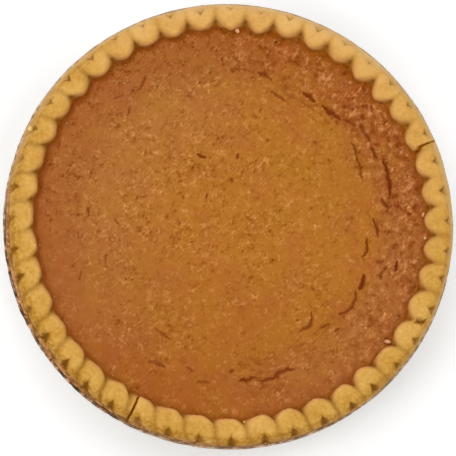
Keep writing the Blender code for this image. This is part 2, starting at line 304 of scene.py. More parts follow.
# Where round the pie each trait is strongest, as (degrees from +X, spread). A spread of 0.5 leaves it at half
# strength a quarter turn away. The lower the spread, the narrower the stretch.
SLANTED = (212, 0.2)
POINTED = (55, 0.0)
LONG_KNOBS = (295, 0.5)
WIDE_FEET = (218, 0.0)
SHALLOW_VALLEYS = (60, 0.5)
SHALLOW_PITS = (65, 0.5)
CRUMPLED = (228, 0.5)
UNLIT_LIP = (232, 0.5)
SHADED_LIP = (232, 0.0)
STRONG_OUTER_LIGHT = (82, -1.2)
WEAK_OUTER_LIGHT = (40, 0.2)
LEFT_OUTER_LIGHT = (125, -0.2)
LIT_CRUST = (85, 0.3)
GOLDEN_CRUST = (185, -0.3)
GOLDEN_INSIDE = (190, -0.3)
SHADED_OUTSIDE = (238, 0.5)
LOW_EDGE = (125, 0.5)
SHADOWED_EDGE = (118, 0.25)
COARSE_MIDDLE = (130, 0.4)
SMOOTH_HALF_WAY = (175, 0.2)
COARSE_RING = (115, -0.2)
SHADED_NEAR_SIDE = (245, 0.0)
DEEP_RIGHT = (60, -0.05)
DEEP_LEFT = (152, -0.1)
UNFLECKED = (150, 0.2)
WRINKLED = (20, -0.12)
SHEEN_LEFT_SIDE = (158, 0.15)
SHEEN_RIGHT_SIDE = (335, -0.2)
CRUSHED_RIM = (212, -0.2)
TUCKED_RIM = (322, 0.0)
SHADED_BURNT_RIM = (214, -2.5)
HALF_SHADED_RIM = (266, -0.8)


# --- Modelling helpers ---


def set_mode(mode):
    bpy.ops.object.mode_set(mode=mode)


def deselect():
    if bpy.context.object and bpy.context.object.mode != "OBJECT":
        set_mode("OBJECT")
    bpy.ops.object.select_all(action="DESELECT")


def work_on(piece):
    deselect()
    piece.select_set(True)
    bpy.context.view_layer.objects.active = piece


def points_of(piece):
    flat = np.empty(len(piece.data.vertices) * 3)
    piece.data.vertices.foreach_get("co", flat)
    return flat.reshape(-1, 3)


def move_points(piece, points):
    piece.data.vertices.foreach_set("co", points.astype(np.float32).ravel())
    piece.data.update()


def smooth_step(t):
    t = np.clip(t, 0, 1)
    return t * t * (3 - 2 * t)


def rise(value, start, length):
    """From 0 to 1 as a value climbs a length past its start."""
    return smooth_step((value - start) / length)


def fall(value, end, length):
    """From 1 to 0 as a value climbs the last length up to its end."""
    return smooth_step((end - value) / length)


def blend(a, b, t):
    return a + (b - a) * t


def rough(points, size, seed):
    """Smooth noise from about -1 to 1 at each point, with lumps of about the given size."""
    shift = Vector([seed * apart for apart in SEEDS_APART])
    return np.array([noise.noise(Vector(p) / size + shift) for p in points])


def uneven(points, layers):
    """Smooth noise in layers of (height, size of its lumps, seed), laid on each other."""
    return sum(height * rough(points, size, seed) for height, size, seed in layers)


def round_axis(points):
    """(radius, angle) of points round the pie's axis."""
    return np.hypot(points[:, 0], points[:, 1]), np.arctan2(points[:, 1], points[:, 0])


def circle(angle, radius=1.0, height=0.0):
    """Points round the pie's axis."""
    return np.stack([radius * np.cos(angle), radius * np.sin(angle), 0 * angle + height], 1)


def turned_blank(name, section, columns):
    """A blank of revolution: a circle extruded from point to point of its section of (radius, height)."""
    deselect()
    bpy.ops.mesh.primitive_circle_add(vertices=columns, radius=section[0][0])
    blank = bpy.context.object
    blank.name = blank.data.name = name
    set_mode("EDIT")
    bpy.ops.transform.translate(value=(0, 0, section[0][1]))
    for (r_was, z_was), (r, z) in zip(section, section[1:]):
        bpy.ops.mesh.extrude_edges_move(TRANSFORM_OT_translate={"value": (0, 0, z - z_was)})
        bpy.ops.transform.resize(value=(r / r_was, r / r_was, 1), center_override=(0, 0, z))
    set_mode("OBJECT")
    return blank


def close_poles(piece, section):
    """Draws the small ring of points at each end of a blank's section into one."""
    for _, height in (section[0], section[-1]):
        work_on(piece)
        set_mode("EDIT")
        bpy.ops.mesh.select_all(action="DESELECT")
        set_mode("OBJECT")
        for v in piece.data.vertices:
            v.select = math.hypot(v.co.x, v.co.y) < 2 * POLE_R and abs(v.co.z - height) < 0.1 * POLE_R
        set_mode("EDIT")
        bpy.ops.mesh.merge(type="CENTER")
        set_mode("OBJECT")


def face_out(piece):
    work_on(piece)
    set_mode("EDIT")
    bpy.ops.mesh.select_all(action="SELECT")
    bpy.ops.mesh.normals_make_consistent(inside=False)
    set_mode("OBJECT")
    bpy.ops.object.shade_smooth()


def store(piece, name, values):
    """Keeps one number for each point, for the materials to read."""
    kept = piece.data.attributes.new(name, "FLOAT", "POINT")
    kept.data.foreach_set("value", np.asarray(values, dtype=np.float32))


def wall_r(height, inset):
    return WALL_BASE_R + height * math.tan(WALL_LEAN) - inset / math.cos(WALL_LEAN)


def cup_corner(floor, inset, steps):
    """(radius, height) round the bottom corner of a cup, from its floor to its wall."""
    turn = math.pi / 2 - WALL_LEAN
    centre_r = wall_r(floor, inset) - CORNER_R * math.tan(turn / 2)
    angles = [turn * i / steps for i in range(steps + 1)]
    return [(centre_r + CORNER_R * math.sin(a), floor + CORNER_R * (1 - math.cos(a))) for a in angles]


# --- Flutes of the pastry ridge ---


def stray_flutes():
    """By chance, from -1 to 1: how far each flute's angle, knob, outer bulge and crest stray."""
    draw = random.Random(UNEVEN_SEED)
    return np.array([[draw.uniform(-1, 1) for _ in range(4)] for _ in range(FLUTES)]).T


def flute_traits():
    """By chance, about 1: how sharp each flute's knob, and how deep its crease and its outer pinch are."""
    draw = random.Random(TRAIT_SEED)
    return [np.array([draw.uniform(*ends) for _ in range(FLUTES)]) for ends in TRAIT_ENDS]


STRAY_TURN, STRAY_KNOB, STRAY_BULGE, STRAY_TOP = stray_flutes()
SHARPNESS, CREASE, PINCH = flute_traits()


def knob_angles():
    even = FULL_TURN * np.arange(FLUTES) / FLUTES
    stray = np.radians([OUT_OF_PLACE.get(flute, 0) for flute in range(FLUTES)])
    return even + stray + TURN * STRAY_TURN


KNOBS = knob_angles()
FLUTE_ENDS = np.concatenate([KNOBS, [KNOBS[0] + FULL_TURN]])


def flute_of(angle):
    """(flute, t) of angles, with t from 0 at this knob to 1 at the next."""
    angle = np.asarray(angle) % FULL_TURN
    angle = np.where(angle < FLUTE_ENDS[0], angle + FULL_TURN, angle)
    flute = np.clip(np.searchsorted(FLUTE_ENDS, angle, side="right") - 1, 0, FLUTES - 1)
    return flute, np.clip((angle - FLUTE_ENDS[flute]) / (FLUTE_ENDS[flute + 1] - FLUTE_ENDS[flute]), 0, 1)


def between(values, flute, t):
    """A number that each flute has, passing smoothly from each flute's to the next one's."""
    return blend(values[flute], values[(flute + 1) % FLUTES], smooth_step(t))


def out_of_round(angle):
    """How far the ridge lies outside its rule at an angle."""
    return OFF_CENTRE * np.cos(angle - OFF_CENTRE_TO) + OVAL * np.cos(2 * (angle - OVAL_TO))


def towards(angle, side):
    """From 0 away from one of the pie's sides to 1 at it."""
    degrees, spread = side
    return smooth_step(spread + (1.1 - spread) * np.cos(angle - math.radians(degrees)))


def from_knobs(angle, flute, t, share):
    """From 0 at a knob to 1 in the valley beside it, at a share of the way over the ridge."""
    valley = 0.5 + (SLANT * towards(angle, SLANTED) + 0.25 * (SHARPNESS[flute] - 1)) * (0.5 - share)
    return np.where(t < valley, t / valley, (1 - t) / (1 - valley))


def ridge_sides(angle, flute, t, share, up):
    """(inner radius, outer radius) of the ridge at a share up of its height."""
    from_knob = from_knobs(angle, flute, t, share)
    blunt = blend(0.8, 0.26, towards(angle, POINTED))
    rounded = (np.hypot(from_knob, blunt) - blunt) / (np.hypot(1, blunt) - blunt)
    point = blend(1.08, 0.92, towards(angle, SLANTED)) * between(SHARPNESS, flute, t)
    notch = blend(*NOTCH_R, up) + blend(*NOTCH_SHIFT, up) * np.cos(angle - NOTCH_SHIFT_TO)
    notch = notch + NOTCH_STRAY * (CREASE[flute] - 1)
    inner = blend(blend(*KNOB_R, up), notch, rounded**point)
    knob_out = KNOB_SHIFT * between(STRAY_KNOB, flute, t) - LONG_KNOB * towards(angle, LONG_KNOBS)
    inner = inner + knob_out * (1 - rounded)
    pinched = blend(*DIMPLE_R, up) + DIMPLE_SHIFT * np.cos(angle - DIMPLE_SHIFT_TO)
    dimple = np.clip(1 - from_knob / blend(0.36, 0.24, up), 0, 1) ** 1.2 * between(PINCH, flute, t)
    outer = blend(blend(*BULGE_R, up), pinched, dimple)
    outer = outer + WIDE_FOOT * (1 - up) * towards(angle, WIDE_FEET)
    return inner, outer + BULGE_SHIFT * between(STRAY_BULGE, flute, t)


def split_offsets(angle, share):
    """(turn, drop) that open the splits: how far points move round, and how deep they sink from 0 to 1."""
    turn = np.zeros_like(angle)
    drop = np.zeros_like(angle)
    column = FULL_TURN / CASE_COLUMNS
    first, last = TEAR_ENDS
    torn = rise(share, first - 0.04, 0.08) * fall(share, last + 0.04, 0.08)
    openings = [(*split, 1.0) for split in SPLITS] + [(*TEAR, TEAR_STRENGTH * torn)]
    for middle, lean, half, opened in openings:
        wiggle = 0.12 * np.sin(9 * share + middle) + lean * (0.5 - share)
        off = (angle - math.radians(middle) - np.radians(wiggle) + math.pi) % FULL_TURN - math.pi
        off = off / column
        wide = half / SPLIT_AT_R / column
        # The columns beside the split's middle part to its width, and the next ones close up behind them.
        were = [0, 0.9, 1.9, 2.6, SPLIT_COLUMNS]
        moved = np.interp(abs(off), were, [0, 0.45 * wide, wide, 1.35 * wide, SPLIT_COLUMNS])
        near = abs(off) < SPLIT_COLUMNS
        turn += np.where(near, np.sign(off) * (moved - abs(off)) * column, 0) * opened
        drop = np.maximum(drop, (1 - smooth_step(abs(off) - 0.9)) * opened)
    return turn, drop


# --- Pastry case ---


def case_section():
    """The case's mean section as (radius, height), and which points the ridge starts and ends with."""
    under = cup_corner(CASE_INSET, CASE_INSET, CASE_CORNER_STEPS)
    inside = cup_corner(CUSTARD_INSET, CUSTARD_INSET, CASE_CORNER_STEPS)
    section = [(POLE_R, CASE_INSET), (0.8 * under[0][0], CASE_INSET), *under]
    section.append((wall_r(CASE_FLANGE_Z, CASE_INSET), CASE_FLANGE_Z))
    section += [(radius, CASE_FLANGE_Z) for radius in CASE_FLANGE_R]
    section += [(LIP_R - inward, PAN_TOP + up) for inward, up in LIP_SIDE]
    section += [(LIP_R - inward, LIP_TOP_Z - down) for inward, down in LIP_TOP]
    first_ridge = len(section)
    for step in range(RIDGE_STEPS + 1):
        around = math.pi * step / RIDGE_STEPS
        radius = RIDGE_MIDDLE_R + BLANK_RIDGE_HALF * math.cos(around)
        section.append((radius, LIP_TOP_Z + BLANK_RIDGE_TALL * math.sin(around)))
    last_ridge = len(section) - 1
    section += [(wall_r(z, CUSTARD_INSET), z) for z in CASE_INNER_WALL_Z]
    section += [*reversed(inside), (0.8 * inside[0][0], CUSTARD_INSET), (POLE_R, CUSTARD_INSET)]
    return section, first_ridge, last_ridge


def shape_ridge(angle, share):
    """(points, how dark its painted shade is, how far split) of the ridge, at shares of the way over it."""
    turn, drop = split_offsets(angle, share)
    flute, t = flute_of(angle)
    from_knob = from_knobs(angle, flute, t, share)
    around = math.pi * share
    outer_power, inner_power = blend(*OUTER_SQUARENESS, from_knob), blend(*INNER_SQUARENESS, from_knob)
    power = blend(outer_power, inner_power, rise(share, *INSIDE))
    across = np.sign(np.cos(around)) * abs(np.cos(around)) ** (2 / power)
    up = abs(np.sin(around)) ** (2 / power)
    inner, outer = ridge_sides(angle, flute, t, share, up)
    radius = (outer + inner) / 2 + (outer - inner) / 2 * across * (1 - 0.3 * drop) + out_of_round(angle)

    foot = blend(LIP_TOP_Z, RIDGE_FOOT_Z, smooth_step(share))
    crease = np.exp(-(((1 - from_knob) / 0.14) ** 1.3)) * between(CREASE, flute, t)
    saddle = SADDLE * from_knob**2 * rise(share, *SADDLE_START)
    saddle += OUTER_SADDLE * (1 - from_knob) ** 3 * fall(share, *OUTER_SADDLE_END)
    top = RIDGE_TOP_Z + TOP_SHIFT * between(STRAY_TOP, flute, t)
    top = top - saddle - CREASE_DEPTH * crease * rise(share, *CREASE_START)
    z = foot + (top - foot) * up * (1 - SPLIT_DEPTH * drop)

    # Painted shade is darkest in the valleys at the ridge's inner foot, the pits that pinching left outside,
    # and the splits.
    low = rise(share, *INNER_FOOT)
    valley = np.exp(-(((1 - from_knob) / blend(0.16, 0.30, low)) ** 1.5))
    on_top = blend(0.62, 0.3, towards(angle, SHALLOW_VALLEYS)) * between(CREASE, flute, t)
    valley *= blend(on_top, 1.0, low)
    pit = np.clip(1.15 - from_knob / 0.32, 0, 1) * fall(share, *PIT_END)
    pit *= blend(blend(0.8, 0.25, towards(angle, SHALLOW_PITS)), 1.0, rise(share, *PIT_START))
    pit *= blend(1.6, 1.3, towards(angle, SHALLOW_PITS)) * between(PINCH, flute, t)
    dark = np.maximum(np.maximum(valley, np.clip(pit, 0, 1)), drop)
    return circle(angle + turn, radius, z), dark, drop


def case_rings(turned):
    """(ring, angle) of the blank's points, given their angles, with its columns moved to their flutes."""
    ring = np.arange(len(turned)) // CASE_COLUMNS
    column = np.rint(turned % FULL_TURN / FULL_TURN * CASE_COLUMNS).astype(int) % CASE_COLUMNS
    flute = column // COLUMNS_PER_FLUTE
    t = (column % COLUMNS_PER_FLUTE) / COLUMNS_PER_FLUTE
    return ring, blend(FLUTE_ENDS[flute], FLUTE_ENDS[flute + 1], t)


def swell_pastry(case, points, angle, skin):
    """Moves the skin in and out along its normals, as dough that rose unevenly."""
    crumpled = 1 + 0.8 * towards(angle[skin], CRUMPLED)
    swell = uneven(points[skin], BROAD_SWELL) + uneven(points[skin], FINE_SWELL) * crumpled
    move_points(case, points)
    normals = np.empty(len(points) * 3)
    case.data.vertices.foreach_get("normal", normals)
    outward = normals.reshape(-1, 3)[skin]
    core = circle(angle, RIDGE_MIDDLE_R, RIDGE_MIDDLE_Z)[skin]
    flip = np.sign(np.sum(outward * (points[skin] - core), 1))
    points[skin] += outward * (flip * swell)[:, None]
    points[:, 2] = np.minimum(points[:, 2], CREST_Z)
    move_points(case, points)


def bake_pastry(case, angle, share, on_lip, on_ridge):
    """Keeps where the pastry is darker at its foot, and where it has painted light and painted shade, each
    from 0 to 1.
    """
    def skirt(end, length):
        """All of the lip, and the ridge's outside up to an end."""
        return np.where(on_lip, 1.0, 0) + np.where(on_ridge, fall(share, end, length), 0)

    ragged = 0.05 * rough(points_of(case), *PATCHY_CRUST)
    # The foot of the ridge's inner wall is darker where it meets the custard.
    store(case, "darker_foot", rise(share + 0.4 * ragged, *DARKER_FOOT_START))
    lip_end = 0.08 + 0.06 * towards(angle, SHADED_LIP)
    lip = skirt(lip_end, lip_end)
    # Painted light on the lip against the shade at the ridge's foot, left off on its shaded near side.
    store(case, "lip", lip * (1 - 0.9 * towards(angle, UNLIT_LIP)))
    # Painted shade, mottled brown, on the lip's near side, which lies low and in shade.
    store(case, "lip_painted_shade", lip * towards(angle, SHADED_LIP))
    # Painted light on the lip and on the ridge's outside, on the far side, where they face the light.
    weak_outer_light = np.maximum(0.4 * towards(angle, WEAK_OUTER_LIGHT), 0.5 * towards(angle, LEFT_OUTER_LIGHT))
    strong_outer_light = skirt(*STRONG_OUTER_LIGHT_END) * towards(angle, STRONG_OUTER_LIGHT)
    store(case, "outer_painted_light", np.maximum(skirt(*OUTER_LIGHT_END) * weak_outer_light, strong_outer_light))
    # Painted light on the knobs' inner side, most of all up its inner wall, and on the ridge's far side.
    inner_side = rise(share, *LIGHT_START) * (1 + 1.7 * rise(share, *BRIGHTEST_LIGHT_START))
    inner_side *= 1 - 0.4 * towards(angle, GOLDEN_INSIDE)
    far_side = 0.9 * towards(angle, LIT_CRUST) * (1 - 0.8 * towards(angle, GOLDEN_CRUST))
    store(case, "painted_light", np.maximum(inner_side, far_side) * on_ridge)
    # Painted shade on the ridge's outside, on the side that faces away from the light.
    store(case, "outer_painted_shade", fall(share - 1.5 * ragged, *SHADED_OUTSIDE_END) * towards(angle, SHADED_OUTSIDE))


def pastry_case():
    section, first_ridge, last_ridge = case_section()
    case = turned_blank("pastry_case", section, CASE_COLUMNS)
    points = points_of(case)
    radius, turned = round_axis(points)
    ring, angle = case_rings(turned)
    share = np.clip((ring - first_ridge) / RIDGE_STEPS, 0, 1)
    on_lip = (ring >= first_ridge - LIP_RINGS) & (ring < first_ridge)
    on_ridge = (ring >= first_ridge) & (ring <= last_ridge)

    lip_wave = LIP_WAVE * rough(circle(angle), *LIP_WAVES) + LIP_SHIFT * np.cos(angle - LIP_SHIFT_TO)
    turn, drop = split_offsets(angle, 0 * angle)
    radius = np.where(on_lip, radius + lip_wave, radius)
    angle = np.where(on_lip, angle + turn, angle)
    lip_sunk = np.where(on_lip & (ring >= first_ridge - LIP_TOP_RINGS), LIP_SPLIT_DEPTH * drop, 0)
    points = circle(angle, radius, points[:, 2] - lip_sunk)
    shaped, shade, opened = shape_ridge(angle[on_ridge], share[on_ridge])
    points[on_ridge] = shaped
    swell_pastry(case, points, angle, on_lip | on_ridge)

    # Painted shade in the splits, on the lip and on the ridge.
    hollow_painted_shade = np.where(on_lip, drop, 0)
    hollow_painted_shade[on_ridge] = shade
    store(case, "hollow_painted_shade", hollow_painted_shade)
    torn = np.zeros(len(points))
    torn[on_ridge] = opened * blend(0.3, 1.0, rise(share[on_ridge], *TORN_START))
    by_tear = np.cos(angle - math.radians(TEAR[0])) > 0.99
    store(case, "torn", np.where(by_tear, 0, torn))
    bake_pastry(case, angle, share, on_lip, on_ridge)
    close_poles(case, section)
    face_out(case)
    return case


# --- Custard ---


def custard_profile(radius):
    """Height of the custard's top before its wrinkles and cracks."""
    brim = CUSTARD_MIDDLE_Z + CUSTARD_DISH
    dish = blend(CUSTARD_MIDDLE_Z, brim, (np.minimum(radius, SINK_R) / SINK_R) ** 2)
    up = rise(radius, SINK_R, PUFF_R - SINK_R) * (CUSTARD_PUFF_Z - brim)
    down = rise(radius, PUFF_R, EDGE_R - PUFF_R) * (CUSTARD_PUFF_Z - CUSTARD_EDGE_Z)
    return dish + up - down


def crack_paths():
    """The cracks as (half width, darkness, points in the plane), in metres."""
    made = []
    for half, dark, stops in CRACKS:
        bends = [(r * MM * math.cos(math.radians(a)), r * MM * math.sin(math.radians(a))) for a, r in stops]
        made.append((half * MM, dark, np.array(bends)))
    return made


def from_path(places, path):
    """(distance from a path, share along it) of places in the plane."""
    lengths = np.hypot(*np.diff(path, axis=0).T)
    whole = lengths.sum()
    best = np.full(len(places), np.inf)
    along = np.zeros(len(places))
    start = 0.0
    for a, b, length in zip(path, path[1:], lengths):
        share = np.clip(((places - a) @ (b - a)) / length**2, 0, 1)
        distance = np.hypot(*(places - a - share[:, None] * (b - a)).T)
        nearer = distance < best
        best = np.where(nearer, distance, best)
        along = np.where(nearer, (start + share * length) / whole, along)
        start += length
    return best, along


def select_near_cracks(piece, reach):
    points = points_of(piece)
    near = np.zeros(len(points), dtype=bool)
    for half, _, path in crack_paths():
        distance, _ = from_path(points[:, :2], path)
        near |= distance < half + reach
    piece.data.polygons.foreach_set("select", np.zeros(len(piece.data.polygons), dtype=bool))
    piece.data.edges.foreach_set("select", np.zeros(len(piece.data.edges), dtype=bool))
    piece.data.vertices.foreach_set("select", near)


def custard_blank():
    """A round sheet of even triangles: a six-sided fan, subdivided and drawn out to a circle."""
    deselect()
    bpy.ops.mesh.primitive_circle_add(vertices=CUSTARD_SIDES, radius=CUSTARD_R, fill_type="TRIFAN")
    sheet = bpy.context.object
    sheet.name = sheet.data.name = "custard"
    set_mode("EDIT")
    bpy.ops.mesh.subdivide(number_cuts=CUSTARD_RINGS - 1)
    set_mode("OBJECT")
    points = points_of(sheet)
    radius = np.maximum(round_axis(points)[0], 1e-9)
    first_corner = sheet.data.vertices[1].co
    first = math.atan2(first_corner.y, first_corner.x)
    facing = [first + FULL_TURN * (i + 0.5) / CUSTARD_SIDES for i in range(CUSTARD_SIDES)]
    side = math.cos(math.pi / CUSTARD_SIDES)
    ring = np.max([points[:, 0] * math.cos(a) + points[:, 1] * math.sin(a) for a in facing], axis=0) / side
    points *= (ring / radius)[:, None]
    move_points(sheet, points)
    for reach in FINER_NEAR_CRACKS:
        select_near_cracks(sheet, reach)
        set_mode("EDIT")
        bpy.ops.mesh.select_mode(type="VERT")
        bpy.ops.mesh.subdivide(number_cuts=1)
        bpy.ops.mesh.select_all(action="SELECT")
        bpy.ops.mesh.quads_convert_to_tris()
        set_mode("OBJECT")
    return sheet


def furrows(waves, width):
    """1 along the lines where noise passes through 0, and 0 away from them."""
    return np.clip(1 - abs(waves) / width, 0, 1)


def custard_relief(level, radius, angle, outer, busy):
    """(height, how deep in a furrow from 0 to 1) of the skin before it cracks."""
    height = custard_profile(radius) + uneven(level, CUSTARD_SWELL)
    height += blend(RIPPLE[0], RIPPLE[1] * busy, outer) * rough(level, *RIPPLES)
    height += blend(PIMPLE[0], PIMPLE[1] * busy**2, outer) * rough(level, *PIMPLES)
    wrinkle = furrows(rough(level, *WRINKLES), 0.16) * outer * rise(busy, 0.4, 0.5)
    height -= WRINKLE_DEPTH * wrinkle

    # Round the belt of cracks it creased along the pan.
    belt = rise(radius, *BELT_START) * fall(radius, *BELT_END) * rise(np.cos(angle - BELT_TO), -0.35, 0.5)
    round_pan = np.stack([radius / (2.8 * MM), angle * 7.5, 0 * radius], 1)
    crease = furrows(rough(round_pan, 1, 16), 0.20) * belt * rise(rough(level, *CREASED), 0.05, 0.3)
    height -= BELT_CREASE_DEPTH * crease
    height += RAISED_EDGE * (1 - towards(angle, LOW_EDGE)) * rise(radius, *TURNED_UP)
    return height, np.maximum(0.3 * wrinkle, 0.55 * crease)


def crack_custard(level, ragged):
    """(how far the cracks move the skin up or down, how far inside a crack from 0 to 1)."""
    places = level[:, :2] + np.stack([uneven(level, WANDER_X), uneven(level, WANDER_Y)], 1)
    moved = np.zeros(len(level))
    opened = np.zeros(len(level))
    for half, dark, path in crack_paths():
        distance, along = from_path(places, path)
        taper = np.sqrt(np.clip(1 - (2 * along - 1) ** 2, 0, 1)) * 0.8 + 0.2
        wide = 1.9 * half * taper * (1 + 0.4 * ragged)
        inside = 1 - rise(distance, 0.15 * wide, 1.1 * wide)
        lip = np.exp(-(((distance - 2.0 * wide) / (1.2 * wide)) ** 2))
        moved += dark * taper * (CRACK_LIP * lip - CRACK_DEPTH * inside)
        opened = np.maximum(opened, inside * dark**0.6)
    return moved, opened


def edge_shadow(level, angle, to_crust, ragged):
    """How dark the custard is along the pastry, from 0 to 1: a dark line, with painted shadow widest in
    hollows and on the shaded side.
    """
    hollow = from_knobs(angle, *flute_of(angle), 1.0)
    shaded = towards(angle, SHADOWED_EDGE)
    broken = 0.6 * rough(level, *BROKEN) + 0.3 * ragged
    reach = blend(1.0 + 1.0 * hollow, 2.5, shaded) * MM * (1 + 0.4 * broken)
    line = rise(to_crust, -0.4 * MM, 0.7 * MM) * fall(to_crust, reach + 0.4 * MM, 0.8 * MM)
    return line * blend(0.5 + 0.5 * hollow, 1.0, shaded) * (0.85 + 0.5 * broken)


def bake_custard(sheet, radius, angle, outer, busy):
    """Keeps where the custard is coarse, richer in colour, flecked and wrinkled, and where it has painted
    shade and painted sheen.
    """
    middle = blend(1.0, blend(0.78, 1.08, towards(angle, COARSE_MIDDLE)), rise(radius, *BEYOND_MIDDLE))
    half_way = blend(0.75, 0.9, towards(angle, SMOOTH_HALF_WAY))
    middle = blend(middle, half_way, rise(radius, *HALF_WAY_OUT))
    ring = blend(blend(0.68, 1.5, towards(angle, COARSE_RING)), 1.0, smooth_step(1.6 * busy - 0.6))
    store(sheet, "coarse", blend(middle, ring, outer))
    in_ring = rise(radius, *COLOURED_RING)
    # Painted shade on the near side; the outer ring's richer colour on its left and right is its own.
    near_side = 0.5 * towards(angle, SHADED_NEAR_SIDE) * rise(radius, *NEAR_SHADE_START)
    round_side = 0.9 * in_ring * np.maximum(towards(angle, DEEP_RIGHT), 0.8 * towards(angle, DEEP_LEFT))
    store(sheet, "deeper_and_shaded", np.maximum(round_side, near_side))
    store(sheet, "flecked", 1 - 0.5 * in_ring * towards(angle, UNFLECKED))
    store(sheet, "wrinkled", in_ring * towards(angle, WRINKLED))
    # Painted sheen: a pale pinkish haze on the custard's left and on the right of its outer ring.
    sheen_left = towards(angle, SHEEN_LEFT_SIDE) * rise(radius, *SHEEN_SPREAD)
    store(sheet, "painted_sheen", np.maximum(sheen_left, 0.9 * towards(angle, SHEEN_RIGHT_SIDE) * in_ring))


def close_custard(sheet, edge_z):
    """Draws the sheet's edge down inside the pastry and closes it underneath."""
    work_on(sheet)
    set_mode("EDIT")
    bpy.ops.mesh.select_all(action="DESELECT")
    bpy.ops.mesh.select_non_manifold(extend=False, use_wire=False, use_boundary=True, use_multi_face=False,
                                     use_non_contiguous=False, use_verts=False)
    floor = CUSTARD_INSET + CUSTARD_GAP
    bpy.ops.mesh.extrude_edges_move(TRANSFORM_OT_translate={"value": (0, 0, -UNDERCUT)})
    r_was, z_was = CUSTARD_R, edge_z - UNDERCUT
    for r, z in reversed(cup_corner(floor, floor, CUSTARD_CORNER_STEPS)):
        bpy.ops.mesh.extrude_edges_move(TRANSFORM_OT_translate={"value": (0, 0, z - z_was)})
        bpy.ops.transform.resize(value=(r / r_was, r / r_was, 1), center_override=(0, 0, z))
        r_was, z_was = r, z
    bpy.ops.mesh.extrude_edges_move()
    bpy.ops.mesh.merge(type="CENTER")
    set_mode("OBJECT")


def custard_piece():
    sheet = custard_blank()
    points = points_of(sheet)
    level = points * (1, 1, 0)
    radius, angle = round_axis(points)
    # The outer ring wrinkled as it set, most of all on its busy side. The rest is nearly smooth.
    outer = rise(radius, *OUTER_RING)
    busy = 0.35 + 0.65 * smooth_step(0.05 + 0.95 * np.cos(angle - BUSY_TO))
    ragged = rough(level, *RAGGED)
    height, furrow = custard_relief(level, radius, angle, outer, busy)
    to_crust = ridge_sides(angle, *flute_of(angle), 1.0, 0)[0] + out_of_round(angle) - radius
    height -= EDGE_SHRINK * fall(to_crust, 1.2 * MM, 1.2 * MM)
    moved, opened = crack_custard(level, ragged)
    points[:, 2] = height + moved
    move_points(sheet, points)
    # The cracks and furrows are darkened: painted shade, with browning in the cracks.
    store(sheet, "crack", np.maximum(opened, furrow))
    store(sheet, "edge", edge_shadow(level, angle, to_crust, ragged))
    bake_custard(sheet, radius, angle, outer, busy)
    close_custard(sheet, float(np.mean(points[radius > CUSTARD_R - 0.1 * MM, 2])))
    face_out(sheet)
    return sheet


# --- Foil pan ---


def foil_side(inset, top_z):
    """(radius, height) of one face of the foil's bottom and wall, from its pole up."""
    corner = cup_corner(inset, inset, FOIL_CORNER_STEPS)
    heights = [blend(corner[-1][1], top_z, step / WALL_STEPS) for step in range(1, WALL_STEPS)]
    return [(POLE_R, inset), (BOTTOM_RING_R, inset), *corner, *((wall_r(z, inset), z) for z in heights)]


def foil_section():
    """(radius, height) of the foil: its outer face from the pole to the roll, then its inner face back."""
    centre_r, centre_z = RIM_R - BEAD_R - FOIL, PAN_TOP - BEAD_R
    bead = []
    for step in range(BEAD_STEPS + 1):
        a = math.radians(BEAD_FROM + BEAD_ROUND * step / BEAD_STEPS)
        bead.append((centre_r + BEAD_R * math.cos(a), centre_z + BEAD_R * math.sin(a)))
    outer, inner = foil_side(0.0, WALL_TOP_Z[0]), foil_side(FOIL, WALL_TOP_Z[1])
    return [*outer, *FLANGE_UNDER, *bead, *FLANGE_OVER, *reversed(inner)]


def foil_pan_piece():
    section = foil_section()
    pan = turned_blank("pressed_foil_pan", section, PAN_COLUMNS)
    points = points_of(pan)
    radius, angle = round_axis(points)
    z = points[:, 2]
    pleat = rough(circle(angle, 1.0, 3 * z), *PLEATS)
    pleat = np.sign(pleat) * abs(pleat) ** 0.8
    radius += PLEAT_DEPTH * pleat * rise(radius, *WALL_START) * fall(radius, *WALL_END)

    # The rim is bent a little up and down, in and out, and crushed on one side.
    ring = circle(angle)
    on_rim = rise(radius, *BENT_RIM)
    z = z + RIM_WAVE * rough(ring, *RIM_WAVES) * on_rim - RIM_LOWERED * on_rim
    radius += RIM_BEND * rough(ring, *RIM_BENDS) * on_rim
    radius -= RIM_CRUSH * (0.25 + abs(rough(ring, *RIM_DENTS))) * towards(angle, CRUSHED_RIM) * on_rim
    radius -= RIM_TUCK * towards(angle, TUCKED_RIM) * on_rim
    move_points(pan, circle(angle, radius, z))
    rim = rise(radius, *GREASY_RIM)
    # Painted shadow and painted reflection of the crust, with burned-on spots, darken the rim on its near
    # side.
    rim_shade_and_burn = np.maximum(towards(angle, SHADED_BURNT_RIM), 0.35 * towards(angle, HALF_SHADED_RIM))
    store(pan, "baked", blend(0.08, 1.0, rim_shade_and_burn) * rim)
    store(pan, "rim", rim)
    close_poles(pan, section)
    face_out(pan)
    return pan


# --- Crumbs ---


def fallen_crumbs(draw):
    """Places of the small crumbs by chance, in the form of BITS."""
    places = []
    for count, most, radii, height, sizes, golden in SMALL_CRUMBS:
        for _ in range(count):
            angle = draw.choice((draw.uniform(*most), draw.uniform(0, 360))) if most else draw.uniform(0, 360)
            places.append((angle, draw.uniform(*radii), height, draw.uniform(*sizes), 1.0, 0, golden))
    return places


